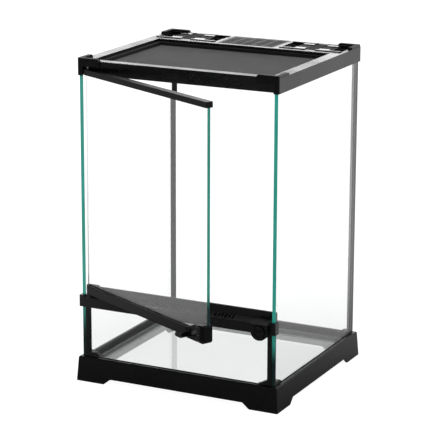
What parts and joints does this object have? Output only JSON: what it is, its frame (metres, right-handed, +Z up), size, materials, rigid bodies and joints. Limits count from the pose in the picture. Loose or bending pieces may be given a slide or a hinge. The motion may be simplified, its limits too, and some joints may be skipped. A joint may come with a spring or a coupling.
{
  "type": "reptile terrarium",
  "caption": "Tall front-opening glass terrarium with black plastic frames, a slotted vent bar, a lift-out screen top and shuttered cable inlets.",
  "frame": {"origin": "centre of the base frame's footprint, on the floor", "axes": "+X towards the right as seen from the front, +Y towards the back, +Z up; the door faces -Y"},
  "size_m": [0.305, 0.4031, 0.4512],
  "materials": {
    "black_plastic": "satin moulded black",
    "satin_black_plastic": "matte black",
    "clear_glass": "clear with green edges",
    "black_screen": "black coated woven wire",
    "hinge_steel": "bright steel"
  },
  "bodies": {
    "root": {"base_frame": "black_plastic", "corner_block_fl": "black_plastic", "corner_block_fr": "black_plastic", "corner_block_rl": "black_plastic", "corner_block_rr": "black_plastic", "bottom_glass": "clear_glass", "left_glass": "clear_glass", "right_glass": "clear_glass", "rear_glass": "clear_glass", "front_glass": "clear_glass", "front_post_left": "black_plastic", "front_post_right": "black_plastic", "vent_bar": "black_plastic", "rear_strip_left": "satin_black_plastic", "rear_strip_right": "satin_black_plastic", "top_frame": "black_plastic", "corner_cap_fl": "black_plastic", "corner_cap_fr": "black_plastic", "corner_cap_rl": "black_plastic", "corner_cap_rr": "black_plastic", "rear_vent_grille": "satin_black_plastic", "hinge_pin_top": "hinge_steel", "hinge_pin_bottom": "hinge_steel", "lock_housing": "satin_black_plastic"},
    "door": {"door_glass": "clear_glass", "door_top_rail": "black_plastic", "door_bottom_rail": "black_plastic", "latch_housing": "black_plastic", "latch_pin": "hinge_steel"},
    "latch_lever": {"latch_lever": "satin_black_plastic"},
    "lock_knob": {"lock_knob": "satin_black_plastic"},
    "screen": {"screen_frame": "satin_black_plastic", "screen_mesh": "black_screen"},
    "shutter_left_outer": {"shutter_left_outer": "satin_black_plastic"},
    "shutter_left_inner": {"shutter_left_inner": "satin_black_plastic"},
    "shutter_right_inner": {"shutter_right_inner": "satin_black_plastic"},
    "shutter_right_outer": {"shutter_right_outer": "satin_black_plastic"}
  },
  "joints": [
    {"name": "door_hinge", "type": "hinge", "parent": "root", "child": "door", "pos_m": [-0.133, -0.1325, 0.28], "axis": [0, 0, -1], "range_deg": [-26.8, 73.2]},
    {"name": "latch_pivot", "type": "hinge", "parent": "door", "child": "latch_lever", "pos_m": [0.09533, -0.25758, 0.1345], "axis": [0, 0, 1], "range_deg": [0, 25], "stiffness_Nm_per_rad": 0.05},
    {"name": "lock_turn", "type": "hinge", "parent": "root", "child": "lock_knob", "pos_m": [0.1265, -0.144, 0.1115], "axis": [0, -1, 0], "range_deg": [0, 90]},
    {"name": "screen_lift", "type": "slide", "parent": "root", "child": "screen", "axis": [0, 0, 1], "range_m": [0, 0.05]},
    {"name": "shutter_left_outer_slide", "type": "slide", "parent": "root", "child": "shutter_left_outer", "axis": [-1, 0, 0], "range_m": [0, 0.0175]},
    {"name": "shutter_left_inner_slide", "type": "slide", "parent": "root", "child": "shutter_left_inner", "axis": [1, 0, 0], "range_m": [0, 0.0175]},
    {"name": "shutter_right_inner_slide", "type": "slide", "parent": "root", "child": "shutter_right_inner", "axis": [-1, 0, 0], "range_m": [0, 0.0175]},
    {"name": "shutter_right_outer_slide", "type": "slide", "parent": "root", "child": "shutter_right_outer", "axis": [1, 0, 0], "range_m": [0, 0.0175]}
  ]
}
